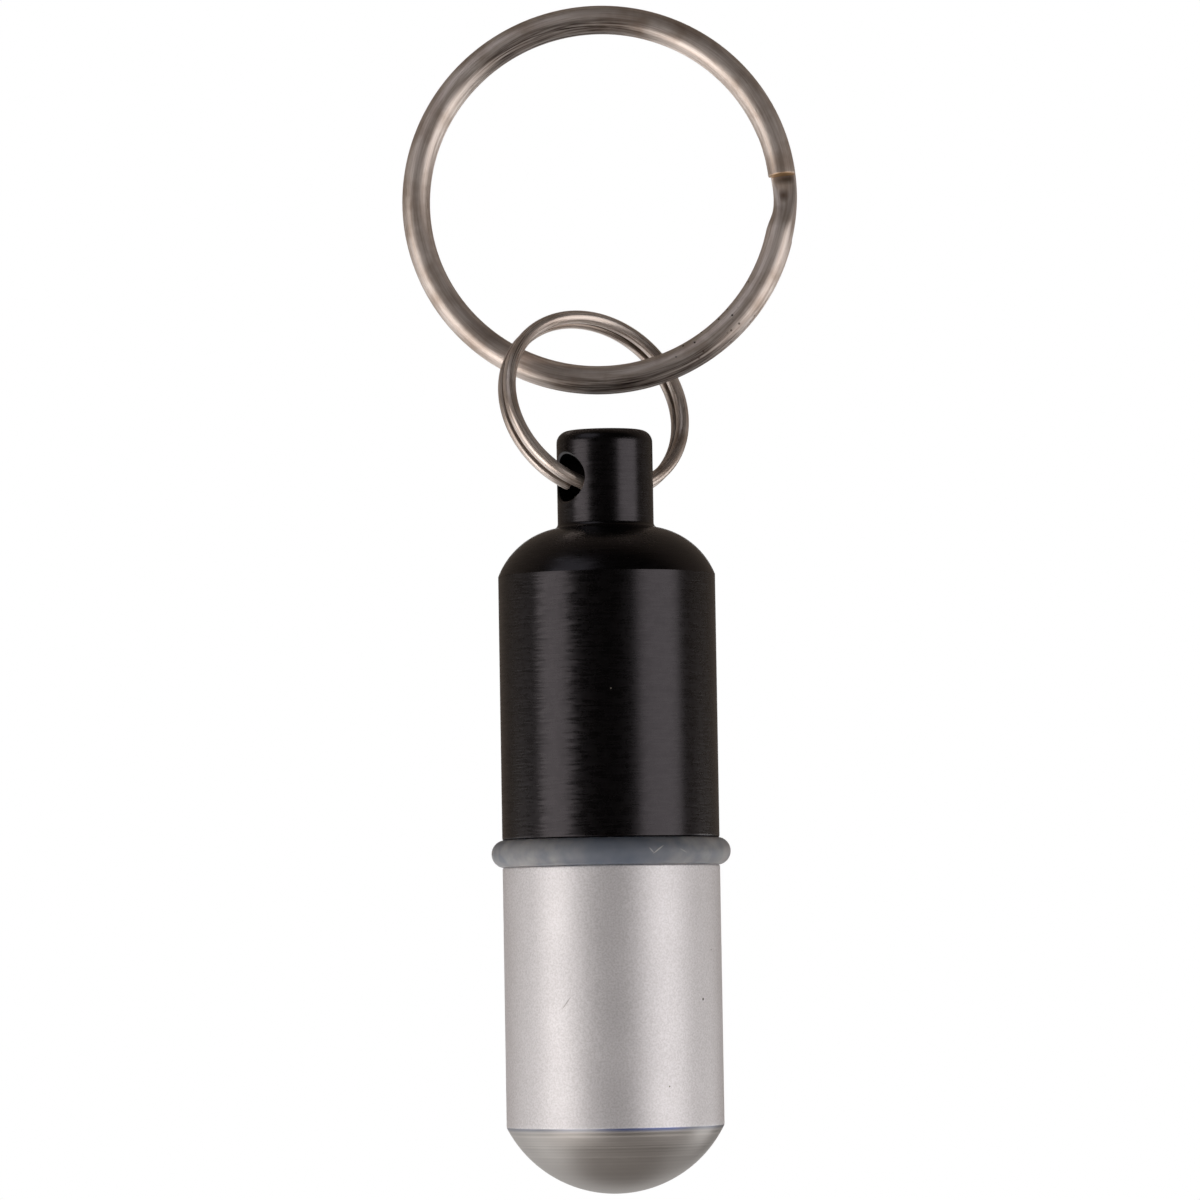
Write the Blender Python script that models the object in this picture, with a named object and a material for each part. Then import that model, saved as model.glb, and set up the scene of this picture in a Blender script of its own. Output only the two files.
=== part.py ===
# Waterproof key-ring capsule: a screw-together aluminium pill capsule with a silicone O-ring,
# carried by a small split ring through its neck and a large split ring through that one.
# Run with: blender --background --factory-startup --python part.py
#
# The capsule stands upright on the Z axis with its neck at the top. Its heights are measured
# from the bottom of the dome, and the finished model is then hung so that the inner top of the
# large ring, where a hook or a key bunch takes it, lies at the world origin.

import math

import bmesh
import bpy
from mathutils import Euler, Matrix, Vector

MM = 0.001

# Outer form of the capsule
CAPSULE_DIAMETER = 14.0 * MM
DOME_HEIGHT = 4.34 * MM
BODY_SIDE_LENGTH = 16.68 * MM
CAP_SIDE_LENGTH = 16.98 * MM
EDGE_CHAMFER = 0.15 * MM
SHOULDER_HEIGHT = 3.1 * MM
SHOULDER_CREASE_ANGLE = math.radians(21.2)
NECK_DIAMETER = 6.2 * MM
NECK_LENGTH = 6.34 * MM
NECK_EDGE_RADIUS = 0.8 * MM

# Seal between the two shells
SEAL_SECTION = 1.8 * MM
SEAL_SQUEEZE = 0.05 * MM
SEAL_SEAT_GAP = 0.05 * MM
SEAL_BORE_CLEARANCE = 0.1 * MM
LAND_TOP_CLEARANCE = 0.25 * MM

# Screw thread between the two shells
RIM_WALL = 1.2 * MM
SPIGOT_WALL = 0.55 * MM
THREAD_PITCH = 1.0 * MM
THREAD_DEPTH = 0.5 * MM
THREAD_TURNS = 5.5
THREAD_RADIAL_CLEARANCE = 0.12 * MM
THREAD_FLANK_CLEARANCE = 0.06 * MM
THREAD_START_HEIGHT = 0.7 * MM
THREAD_RUNOUT = 0.45 * MM
THREAD_CREST_SHARE = 0.24
THREAD_ROOT_SHARE = 0.7
THREAD_SINK = 0.12 * MM
THREAD_TAPER_TURNS = 0.35
THREAD_LEAST_FADE_SHARE = 0.08
GROOVE_OVERRUN_TURNS = 0.8

# Hollow that holds the pills
FLOOR_THICKNESS = 1.3 * MM
CROWN_THICKNESS = 1.25 * MM
DRILL_POINT_ANGLE = math.radians(118.0)
SOCKET_END_CLEARANCE = 0.4 * MM

# Large split ring, wound from oval spring wire
LARGE_RING_DIAMETER = 25.82 * MM
LARGE_WIRE_WIDTH = 1.78 * MM
LARGE_WIRE_THICKNESS = 0.96 * MM
LARGE_CROSSING_WIDTH = 1.52 * MM
LARGE_CROSSING_START = math.radians(-8.0)
LARGE_CROSSING_END = math.radians(8.0)

# Small split ring, wound from finer wire
SMALL_RING_DIAMETER = 13.24 * MM
SMALL_WIRE_WIDTH = 0.84 * MM
SMALL_WIRE_THICKNESS = 0.8 * MM
SMALL_CROSSING_WIDTH = 0.78 * MM
SMALL_CROSSING_START = math.radians(246.0)
SMALL_CROSSING_END = math.radians(266.0)

# Both rings
COIL_GAP = 0.08 * MM
RING_END_GAP = 0.12 * MM
RING_END_CHAMFER = 0.12 * MM
WIRE_FULLNESS = 2.5

# How the pieces hang in one another
HOLE_SIDE_CLEARANCE = 0.71 * MM
HOLE_WIRE_CLEARANCE = 0.25 * MM
HOLE_TURN = math.radians(33.0)
SMALL_RING_LEAN = math.radians(-21.4)
SMALL_RING_TURN = math.radians(27.6)
SMALL_RING_HOLE_ANGLE = math.radians(-93.2)
LARGE_RING_LEAN = math.radians(-5.6)
LARGE_RING_TURN = math.radians(-3.1)
LARGE_RING_LINK_ANGLE = math.radians(-88.1)
LINK_ACROSS_SHARE = 0.24
LINK_UP_SHARE = 0.32

# Smoothness of the solids
TURNED_STEPS = 48
THREAD_STEPS = 24
LARGE_WIRE_STEPS = 60
SMALL_WIRE_STEPS = 48
SECTION_STEPS = 8
SEAL_SECTION_STEPS = 10
SHOULDER_STEPS = 8
DOME_STEPS = 9
ROUND_STEPS = 4
CROSSING_STEPS = 7
CUT_OVERRUN = 1.0 * MM
MERGE_DISTANCE = 0.0005 * MM
SHARP_ANGLE = math.radians(30.0)

# Finishes: linear colour, roughness and metallic value
BLACK_ANODISED = ((0.012, 0.012, 0.013), 0.3, 0.9)
SATIN_ANODISED = ((0.66, 0.64, 0.63), 0.35, 1.0)
GREY_SILICONE = ((0.19, 0.2, 0.22), 0.6, 0.0)
NICKEL_PLATED = ((0.5, 0.46, 0.43), 0.22, 1.0)

# Sizes that follow from the ones above
CAPSULE_RADIUS = CAPSULE_DIAMETER / 2
NECK_RADIUS = NECK_DIAMETER / 2
DOME_SPHERE_RADIUS = (CAPSULE_RADIUS**2 + DOME_HEIGHT**2) / (2 * DOME_HEIGHT)
LAND_RADIUS = CAPSULE_RADIUS - RIM_WALL
CREST_RADIUS = LAND_RADIUS
ROOT_RADIUS = CREST_RADIUS - THREAD_DEPTH
BORE_RADIUS = ROOT_RADIUS - SPIGOT_WALL
SOCKET_RADIUS = ROOT_RADIUS + THREAD_RADIAL_CLEARANCE
DRILL_POINT_HEIGHT = BORE_RADIUS / math.tan(DRILL_POINT_ANGLE / 2)
SEAL_SPACE = SEAL_SECTION - SEAL_SQUEEZE

# Heights above the bottom of the dome
SEAT_HEIGHT = DOME_HEIGHT + BODY_SIDE_LENGTH
RIM_HEIGHT = SEAT_HEIGHT + SEAL_SPACE
LAND_TOP_HEIGHT = RIM_HEIGHT - LAND_TOP_CLEARANCE
THREAD_START = RIM_HEIGHT + THREAD_START_HEIGHT
THREAD_END = THREAD_START + THREAD_TURNS * THREAD_PITCH
SPIGOT_TOP_HEIGHT = THREAD_END + THREAD_RUNOUT
SOCKET_END_HEIGHT = SPIGOT_TOP_HEIGHT + SOCKET_END_CLEARANCE
CAP_EDGE_HEIGHT = RIM_HEIGHT + CAP_SIDE_LENGTH
NECK_ROOT_HEIGHT = CAP_EDGE_HEIGHT + SHOULDER_HEIGHT
NECK_TOP_HEIGHT = NECK_ROOT_HEIGHT + NECK_LENGTH
HOLE_HEIGHT = NECK_ROOT_HEIGHT + NECK_LENGTH / 2
BORE_POINT_TOP = NECK_ROOT_HEIGHT - CROWN_THICKNESS

# The shoulder is an arc from the crease at the cap's edge up to the root of the neck
SHOULDER_STEP = CAPSULE_RADIUS - NECK_RADIUS
SHOULDER_ARC_RADIUS = (SHOULDER_STEP**2 + SHOULDER_HEIGHT**2) / (
    2 * SHOULDER_STEP * math.cos(SHOULDER_CREASE_ANGLE)
    - 2 * SHOULDER_HEIGHT * math.sin(SHOULDER_CREASE_ANGLE)
)
SHOULDER_CENTRE_RADIUS = CAPSULE_RADIUS - SHOULDER_ARC_RADIUS * math.cos(SHOULDER_CREASE_ANGLE)
SHOULDER_CENTRE_HEIGHT = CAP_EDGE_HEIGHT - SHOULDER_ARC_RADIUS * math.sin(SHOULDER_CREASE_ANGLE)
SHOULDER_ARC_END = math.atan2(
    NECK_ROOT_HEIGHT - SHOULDER_CENTRE_HEIGHT, NECK_RADIUS - SHOULDER_CENTRE_RADIUS
)

# The cross hole passes both coils of the small ring
SMALL_RING_THICKNESS = 2 * SMALL_WIRE_THICKNESS + COIL_GAP
HOLE_RADIUS = SMALL_RING_THICKNESS / 2 + HOLE_SIDE_CLEARANCE
HOLE_CENTRE = Vector((0, 0, HOLE_HEIGHT))

# Middle lines of the two wires
SMALL_RING_RADIUS = (SMALL_RING_DIAMETER - SMALL_WIRE_WIDTH) / 2
LARGE_RING_RADIUS = (LARGE_RING_DIAMETER - LARGE_WIRE_WIDTH) / 2
SMALL_INNER_RADIUS = SMALL_RING_RADIUS - SMALL_WIRE_WIDTH / 2
LARGE_INNER_RADIUS = LARGE_RING_RADIUS - LARGE_WIRE_WIDTH / 2


def ring_direction(lean, turn, angle):
    """Unit vector from a ring's centre to its wire at an angle counted from +X towards +Z."""
    flat = Vector((math.cos(angle), 0, math.sin(angle)))
    flat.rotate(Euler((lean, 0, turn), "XYZ"))
    return flat


def small_ring_centre():
    """The small ring's wire lies low in the neck's cross hole, as far as its clearance lets it."""
    drop = HOLE_RADIUS - SMALL_WIRE_WIDTH / 2 - HOLE_WIRE_CLEARANCE
    outward = ring_direction(SMALL_RING_LEAN, SMALL_RING_TURN, SMALL_RING_HOLE_ANGLE)
    return HOLE_CENTRE - outward * (SMALL_RING_RADIUS - drop)


def link_point():
    """Where the large ring's wire passes through the small ring."""
    across = ring_direction(SMALL_RING_LEAN, SMALL_RING_TURN, 0)
    up = ring_direction(SMALL_RING_LEAN, SMALL_RING_TURN, math.pi / 2)
    reach = across * LINK_ACROSS_SHARE + up * LINK_UP_SHARE
    return small_ring_centre() + reach * SMALL_INNER_RADIUS


def large_ring_centre():
    """The large ring stands above the point where its wire is linked."""
    outward = ring_direction(LARGE_RING_LEAN, LARGE_RING_TURN, LARGE_RING_LINK_ANGLE)
    return link_point() - outward * LARGE_RING_RADIUS


def hang_point():
    """Inner top of the large ring, which becomes the world origin."""
    upward = ring_direction(LARGE_RING_LEAN, LARGE_RING_TURN, math.pi / 2)
    return large_ring_centre() + upward * LARGE_INNER_RADIUS


def make_material(name, colour, roughness, metallic):
    """One Principled finish in linear colour."""
    material = bpy.data.materials.new(name)
    material.use_nodes = True
    shader = material.node_tree.nodes["Principled BSDF"]
    shader.inputs["Base Color"].default_value = (*colour, 1.0)
    shader.inputs["Roughness"].default_value = roughness
    shader.inputs["Metallic"].default_value = metallic
    material.diffuse_color = (*colour, 1.0)
    return material


def add_object(name, mesh_data, material=None):
    """Turn a bmesh into a smooth-shaded object."""
    bmesh.ops.recalc_face_normals(mesh_data, faces=mesh_data.faces)
    mesh = bpy.data.meshes.new(name)
    mesh_data.to_mesh(mesh)
    mesh_data.free()
    mesh.shade_smooth()
    mesh.set_sharp_from_angle(angle=SHARP_ANGLE)
    thing = bpy.data.objects.new(name, mesh)
    if material:
        mesh.materials.append(material)
    bpy.context.scene.collection.objects.link(thing)
    return thing


def turned(name, profile, material=None, closed=False):
    """Spin a profile of (radius, height) points once round the Z axis."""
    shape = bmesh.new()
    corners = [shape.verts.new((radius, 0, height)) for radius, height in profile]
    pairs = list(zip(corners, corners[1:]))
    if closed:
        pairs.append((corners[-1], corners[0]))
    edges = [shape.edges.new(pair) for pair in pairs]
    bmesh.ops.spin(
        shape,
        geom=corners + edges,
        cent=(0, 0, 0),
        axis=(0, 0, 1),
        angle=math.tau,
        steps=TURNED_STEPS,
        use_merge=True,
    )
    bmesh.ops.remove_doubles(shape, verts=shape.verts, dist=MERGE_DISTANCE)
    return add_object(name, shape, material)


def swept(name, sections, material=None):
    """Skin a row of closed sections and cap its two ends."""
    shape = bmesh.new()
    rows = [[shape.verts.new(point) for point in section] for section in sections]
    count = len(rows[0])
    for row, following in zip(rows, rows[1:]):
        for k in range(count):
            after = (k + 1) % count
            shape.faces.new((row[k], row[after], following[after], following[k]))
    shape.faces.new(rows[0])
    shape.faces.new(rows[-1])
    return add_object(name, shape, material)


def arc(centre_radius, centre_height, radius, start, end, steps):
    """Points of a profile arc, both ends included."""
    angles = [start + (end - start) * k / steps for k in range(steps + 1)]
    return [
        (centre_radius + radius * math.cos(a), centre_height + radius * math.sin(a))
        for a in angles
    ]


def boolean(target, cutter, operation):
    """Leave a live Boolean on the target and keep its cutter as a hidden guide."""
    modifier = target.modifiers.new(f"{operation.title()} {cutter.name}", "BOOLEAN")
    modifier.operation = operation
    modifier.solver = "EXACT"
    modifier.object = cutter
    cutter.hide_render = True
    cutter.display_type = "WIRE"
    cutter.parent = target


def thread_helix(name, offset_radius, offset_flank, inner_radius, extra_turns, taper):
    """A closed helical tooth: trapezium in section, right-handed, with faded ends."""
    crest = CREST_RADIUS + offset_radius
    root_half = THREAD_PITCH * THREAD_ROOT_SHARE / 2 + offset_flank
    crest_half = THREAD_PITCH * THREAD_CREST_SHARE / 2 + offset_flank
    turns = THREAD_TURNS + 2 * extra_turns
    count = round(turns * THREAD_STEPS)
    sections = []
    for k in range(count + 1):
        turn = turns * k / count - extra_turns
        fade = 1.0
        if taper:
            nearest_end = min(turn, THREAD_TURNS - turn)
            fade = min(1.0, nearest_end / taper)
        tip = inner_radius + (crest - inner_radius) * max(fade, THREAD_LEAST_FADE_SHARE)
        angle = math.tau * turn
        height = THREAD_START + THREAD_PITCH * turn
        corners = (
            (inner_radius, height - root_half),
            (tip, height - crest_half),
            (tip, height + crest_half),
            (inner_radius, height + root_half),
        )
        sections.append([(r * math.cos(angle), r * math.sin(angle), z) for r, z in corners])
    return swept(name, sections)


def body_profile():
    """Outside from the dome up to the spigot, then down the bore."""
    points = [(0, 0)]
    last = math.asin((CAPSULE_RADIUS - EDGE_CHAMFER) / DOME_SPHERE_RADIUS)
    for k in range(1, DOME_STEPS + 1):
        a = last * k / DOME_STEPS
        points.append(
            (DOME_SPHERE_RADIUS * math.sin(a), DOME_SPHERE_RADIUS * (1 - math.cos(a)))
        )
    points += [
        (CAPSULE_RADIUS, DOME_HEIGHT + EDGE_CHAMFER),
        (CAPSULE_RADIUS, SEAT_HEIGHT - EDGE_CHAMFER),
        (CAPSULE_RADIUS - EDGE_CHAMFER, SEAT_HEIGHT),
        (LAND_RADIUS, SEAT_HEIGHT),
        (LAND_RADIUS, LAND_TOP_HEIGHT - EDGE_CHAMFER),
        (LAND_RADIUS - EDGE_CHAMFER, LAND_TOP_HEIGHT),
        (ROOT_RADIUS, LAND_TOP_HEIGHT),
        (ROOT_RADIUS, SPIGOT_TOP_HEIGHT - EDGE_CHAMFER),
        (ROOT_RADIUS - EDGE_CHAMFER, SPIGOT_TOP_HEIGHT),
        (BORE_RADIUS + EDGE_CHAMFER, SPIGOT_TOP_HEIGHT),
        (BORE_RADIUS, SPIGOT_TOP_HEIGHT - EDGE_CHAMFER),
        (BORE_RADIUS, FLOOR_THICKNESS + DRILL_POINT_HEIGHT),
        (0, FLOOR_THICKNESS),
    ]
    return points


def cap_profile():
    """Outside from the neck down to the rim, then up the socket and the bore."""
    neck_edge = arc(
        NECK_RADIUS - NECK_EDGE_RADIUS,
        NECK_TOP_HEIGHT - NECK_EDGE_RADIUS,
        NECK_EDGE_RADIUS,
        math.pi / 2,
        0,
        ROUND_STEPS,
    )
    shoulder = arc(
        SHOULDER_CENTRE_RADIUS,
        SHOULDER_CENTRE_HEIGHT,
        SHOULDER_ARC_RADIUS,
        SHOULDER_ARC_END,
        SHOULDER_CREASE_ANGLE,
        SHOULDER_STEPS,
    )
    return [
        (0, NECK_TOP_HEIGHT),
        *neck_edge,
        *shoulder,
        (CAPSULE_RADIUS, RIM_HEIGHT + EDGE_CHAMFER),
        (CAPSULE_RADIUS - EDGE_CHAMFER, RIM_HEIGHT),
        (LAND_RADIUS, RIM_HEIGHT),
        (SOCKET_RADIUS, RIM_HEIGHT + LAND_RADIUS - SOCKET_RADIUS),
        (SOCKET_RADIUS, SOCKET_END_HEIGHT),
        (BORE_RADIUS, SOCKET_END_HEIGHT),
        (BORE_RADIUS, BORE_POINT_TOP - DRILL_POINT_HEIGHT),
        (0, BORE_POINT_TOP),
    ]


def make_body(material):
    """Domed lower shell with its bore, seal land and male thread."""
    body = turned("capsule_body", body_profile(), material)
    tooth = thread_helix(
        "male_thread_tooth",
        offset_radius=0,
        offset_flank=0,
        inner_radius=ROOT_RADIUS - THREAD_SINK,
        extra_turns=0,
        taper=THREAD_TAPER_TURNS,
    )
    boolean(body, tooth, "UNION")
    return body


def make_cap(material):
    """Upper shell with its shoulder, neck, cross hole and female thread."""
    cap = turned("capsule_cap", cap_profile(), material)
    groove = thread_helix(
        "female_thread_cutter",
        offset_radius=THREAD_RADIAL_CLEARANCE,
        offset_flank=THREAD_FLANK_CLEARANCE,
        inner_radius=ROOT_RADIUS - THREAD_SINK,
        extra_turns=GROOVE_OVERRUN_TURNS,
        taper=0,
    )
    boolean(cap, groove, "DIFFERENCE")
    drill = bmesh.new()
    place = (
        Matrix.Translation(HOLE_CENTRE)
        @ Matrix.Rotation(HOLE_TURN, 4, "Z")
        @ Matrix.Rotation(math.pi / 2, 4, "Y")
    )
    bmesh.ops.create_cone(
        drill,
        cap_ends=True,
        segments=TURNED_STEPS // 2,
        radius1=HOLE_RADIUS,
        radius2=HOLE_RADIUS,
        depth=NECK_DIAMETER + 2 * CUT_OVERRUN,
        matrix=place,
    )
    boolean(cap, add_object("cross_hole_cutter", drill), "DIFFERENCE")
    return cap


def make_seal(material):
    """O-ring round the land, pressed a little flat between seat and rim."""
    inner = LAND_RADIUS + SEAL_BORE_CLEARANCE
    middle_radius = inner + SEAL_SECTION / 2
    middle_height = SEAT_HEIGHT + SEAL_SPACE / 2
    half_height = SEAL_SPACE / 2 - SEAL_SEAT_GAP
    profile = []
    for k in range(SEAL_SECTION_STEPS):
        a = math.tau * (k + 0.5) / SEAL_SECTION_STEPS
        spread = 1 / math.cos(math.pi / SEAL_SECTION_STEPS)
        profile.append(
            (
                middle_radius + SEAL_SECTION / 2 * math.cos(a) * spread,
                middle_height + half_height * math.sin(a) * spread,
            )
        )
    return turned("seal_o_ring", profile, material, closed=True)


def wire_section(width, thickness):
    """Oval wire section: (radial, axial) points of a full ellipse."""
    power = 2 / WIRE_FULLNESS
    points = []
    for k in range(SECTION_STEPS):
        a = math.tau * (k + 0.5) / SECTION_STEPS
        c, s = math.cos(a), math.sin(a)
        radial = math.copysign(abs(c) ** power, c) * width / 2
        axial = math.copysign(abs(s) ** power, s) * thickness / 2
        points.append((radial, axial))
    reach = max(radial for radial, axial in points) / (width / 2)
    rise = max(axial for radial, axial in points) / (thickness / 2)
    return [(radial / reach, axial / rise) for radial, axial in points]


def split_ring(name, radius, width, thickness, crossing, crossing_width, steps, material):
    """Two turns of wire: the front coil steps to the back one across the crossing."""
    start, end = crossing
    end_angle = RING_END_GAP / radius
    chamfer_angle = RING_END_CHAMFER / radius
    first = end + end_angle
    last = start + 2 * math.tau - end_angle
    shift = (thickness + COIL_GAP) / 2
    # the stations along the wire, closer together in the crossing
    stations = [first, first + chamfer_angle]
    plain = math.tau - (end - start)
    count = round(steps * plain / math.tau)
    crossing_count = max(CROSSING_STEPS, round(steps * (end - start) / math.tau))
    front_start = first + chamfer_angle
    front_end = start + math.tau
    stations += [front_start + (front_end - front_start) * k / count for k in range(1, count)]
    stations += [
        front_end + (end - start) * k / crossing_count for k in range(crossing_count + 1)
    ]
    back_start = end + math.tau
    back_end = last - chamfer_angle
    stations += [
        back_start + (back_end - back_start) * k / count for k in range(1, count + 1)
    ]
    stations.append(last)
    sections = []
    for angle in stations:
        way = min(1.0, max(0.0, (angle - front_end) / (end - start)))
        ease = way * way * (3 - 2 * way)
        pinch = 4 * ease * (1 - ease)
        here_width = width + (crossing_width - width) * pinch
        here_radius = radius + (width - here_width) / 2
        scale = 1.0
        if angle in (stations[0], stations[-1]):
            scale = 1 - 2 * RING_END_CHAMFER / max(width, thickness)
        section = []
        for radial, axial in wire_section(here_width, thickness):
            r = here_radius + radial * scale
            depth = shift * (2 * ease - 1) + axial * scale
            section.append((r * math.cos(angle), depth, r * math.sin(angle)))
        sections.append(section)
    return swept(name, sections, material)


def empty_at(name, place, parent=None):
    """A joint marker, placed in the world through its parent."""
    marker = bpy.data.objects.new(name, None)
    marker.empty_display_size = NECK_RADIUS
    bpy.context.scene.collection.objects.link(marker)
    hang_from(marker, place, parent)
    return marker


def hang_from(thing, place, parent):
    """Parent a thing and set its location so that it lies at a place in the world."""
    parent_place = Vector((0, 0, 0))
    above = parent
    while above:
        parent_place += above.location
        above = above.parent
    thing.parent = parent
    thing.location = place - parent_place


def least_coil_gap(radius, width, thickness):
    """Least distance between the facing points of the two coils of a ring."""
    shift = (thickness + COIL_GAP) / 2
    section = wire_section(width, thickness)
    front = [Vector((radius + r, -shift + a, 0)) for r, a in section]
    back = [Vector((radius + r, shift + a, 0)) for r, a in section]
    return min((p - q).length for p in front for q in back)


def build():
    """Make every piece and hang each one on the piece that carries it."""
    for old in list(bpy.data.objects):
        bpy.data.objects.remove(old, do_unlink=True)

    black = make_material("black anodised aluminium", *BLACK_ANODISED)
    silver = make_material("satin anodised aluminium", *SATIN_ANODISED)
    rubber = make_material("grey silicone rubber", *GREY_SILICONE)
    steel = make_material("nickel plated steel", *NICKEL_PLATED)

    origin = hang_point()
    dome_bottom = -origin

    large_ring = split_ring(
        "large_split_ring",
        LARGE_RING_RADIUS,
        LARGE_WIRE_WIDTH,
        LARGE_WIRE_THICKNESS,
        (LARGE_CROSSING_START, LARGE_CROSSING_END),
        LARGE_CROSSING_WIDTH,
        LARGE_WIRE_STEPS,
        steel,
    )
    large_ring.rotation_euler = (LARGE_RING_LEAN, 0, LARGE_RING_TURN)
    large_ring.location = large_ring_centre() - origin

    link_swivel = empty_at("link_swivel", link_point() - origin)
    small_ring = split_ring(
        "small_split_ring",
        SMALL_RING_RADIUS,
        SMALL_WIRE_WIDTH,
        SMALL_WIRE_THICKNESS,
        (SMALL_CROSSING_START, SMALL_CROSSING_END),
        SMALL_CROSSING_WIDTH,
        SMALL_WIRE_STEPS,
        steel,
    )
    small_ring.rotation_euler = (SMALL_RING_LEAN, 0, SMALL_RING_TURN)
    hang_from(small_ring, small_ring_centre() - origin, link_swivel)

    neck_hinge = empty_at("neck_hinge", HOLE_CENTRE - origin, link_swivel)
    hang_from(make_cap(black), dome_bottom, neck_hinge)

    screw_axis = empty_at("screw_axis", dome_bottom, neck_hinge)
    hang_from(make_seal(rubber), dome_bottom, screw_axis)
    hang_from(make_body(silver), dome_bottom, screw_axis)

    for title, place in (
        ("dome bottom", dome_bottom),
        ("neck hinge", HOLE_CENTRE - origin),
        ("link swivel", link_point() - origin),
        ("large ring centre", large_ring_centre() - origin),
        ("small ring centre", small_ring_centre() - origin),
    ):
        print(title, "mm", [round(c / MM, 4) for c in place])
    for title, gap in (
        ("large", least_coil_gap(LARGE_RING_RADIUS, LARGE_WIRE_WIDTH, LARGE_WIRE_THICKNESS)),
        ("small", least_coil_gap(SMALL_RING_RADIUS, SMALL_WIRE_WIDTH, SMALL_WIRE_THICKNESS)),
    ):
        print(title, "ring, least gap between its coils, mm", round(gap / MM, 3))


build()
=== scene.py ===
import math

import bpy
from mathutils import Euler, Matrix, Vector


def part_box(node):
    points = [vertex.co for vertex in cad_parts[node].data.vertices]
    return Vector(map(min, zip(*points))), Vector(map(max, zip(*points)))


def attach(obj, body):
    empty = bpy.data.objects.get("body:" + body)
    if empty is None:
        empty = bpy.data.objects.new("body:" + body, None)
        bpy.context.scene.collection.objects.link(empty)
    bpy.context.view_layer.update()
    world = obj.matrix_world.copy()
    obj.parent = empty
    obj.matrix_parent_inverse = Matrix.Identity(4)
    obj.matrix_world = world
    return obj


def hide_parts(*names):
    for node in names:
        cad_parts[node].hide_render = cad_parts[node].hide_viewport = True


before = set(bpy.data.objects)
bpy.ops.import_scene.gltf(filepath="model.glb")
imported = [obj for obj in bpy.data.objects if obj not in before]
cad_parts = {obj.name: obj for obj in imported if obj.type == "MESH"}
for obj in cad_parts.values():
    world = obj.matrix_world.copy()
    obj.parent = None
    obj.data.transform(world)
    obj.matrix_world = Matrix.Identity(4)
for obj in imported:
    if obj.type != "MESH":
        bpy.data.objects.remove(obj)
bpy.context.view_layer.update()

# Lower shell: aluminium bar, turned to a dome, bored, threaded on its spigot, fine-blasted and
# clear anodised to a silver satin. It screws up into the cap and squeezes the O-ring on its seat.
mm = 0.001
body_low, body_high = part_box("capsule_body")
cap_low, cap_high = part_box("capsule_cap")
axis_x = (body_low.x + body_high.x) / 2
axis_y = (body_low.y + body_high.y) / 2
capsule_radius = (body_high.x - body_low.x) / 2
dome_height = 4.34 * mm
dome_radius = (capsule_radius**2 + dome_height**2) / (2 * dome_height)
dome_edge_z = body_low.z + dome_height
dome_stations = 28
rim_z = cap_low.z
seal_space = 1.75 * mm
seat_z = rim_z - seal_space
rim_wall = 1.2 * mm
spigot_wall = 0.55 * mm
thread_depth = 0.5 * mm
thread_pitch = 1.0 * mm
thread_turns = 5.5
thread_start_z = rim_z + 0.7 * mm
tooth_root_width = 0.7 * thread_pitch
tooth_crest_width = 0.24 * thread_pitch
tooth_bite = 0.12 * mm
land_radius = capsule_radius - rim_wall
root_radius = land_radius - thread_depth
bore_radius = root_radius - spigot_wall
land_top_z = rim_z - 0.25 * mm
spigot_top_z = body_high.z
floor_thickness = 1.3 * mm
drill_angle = math.radians(118)
drill_height = bore_radius / math.tan(drill_angle / 2)
turned_facets = 192
thread_facets = 48
edge_break = 0.12 * mm
edge_steps = 6
same_place = 0.002 * mm
smooth_angle = math.radians(19)


def lathe(name, profile, facets, centre=(axis_x, axis_y)):
    """Draw a disc out along Z through (radius, height) stations, from one pole to the other."""
    radius, height = profile[1]
    bpy.ops.object.select_all(action="DESELECT")
    bpy.ops.mesh.primitive_circle_add(
        vertices=facets, radius=radius, fill_type="TRIFAN", location=(*centre, height)
    )
    piece = bpy.context.object
    piece.name = name
    for vertex in piece.data.vertices:
        if vertex.co.xy.length < radius / 2:
            vertex.co.z = profile[0][1] - height
    bpy.ops.object.mode_set(mode="EDIT")
    bpy.ops.mesh.select_mode(type="EDGE")
    bpy.ops.mesh.select_all(action="DESELECT")
    bpy.ops.mesh.select_non_manifold(use_wire=False, use_multi_face=False, use_verts=False)
    for next_radius, next_height in profile[2:-1]:
        step = (0, 0, next_height - height)
        bpy.ops.mesh.extrude_edges_move(TRANSFORM_OT_translate={"value": step})
        growth = next_radius / radius
        bpy.ops.transform.resize(
            value=(growth, growth, 1), center_override=(*centre, next_height)
        )
        radius, height = next_radius, next_height
    step = (0, 0, profile[-1][1] - height)
    bpy.ops.mesh.extrude_edges_move(TRANSFORM_OT_translate={"value": step})
    bpy.ops.mesh.merge(type="CENTER")
    bpy.ops.mesh.select_all(action="SELECT")
    bpy.ops.mesh.normals_make_consistent(inside=False)
    bpy.ops.object.mode_set(mode="OBJECT")
    bpy.ops.object.transform_apply(location=True, rotation=True, scale=True)
    return piece


def select_only(piece):
    """Make one piece the selected and active one."""
    bpy.ops.object.select_all(action="DESELECT")
    piece.select_set(True)
    bpy.context.view_layer.objects.active = piece


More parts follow.
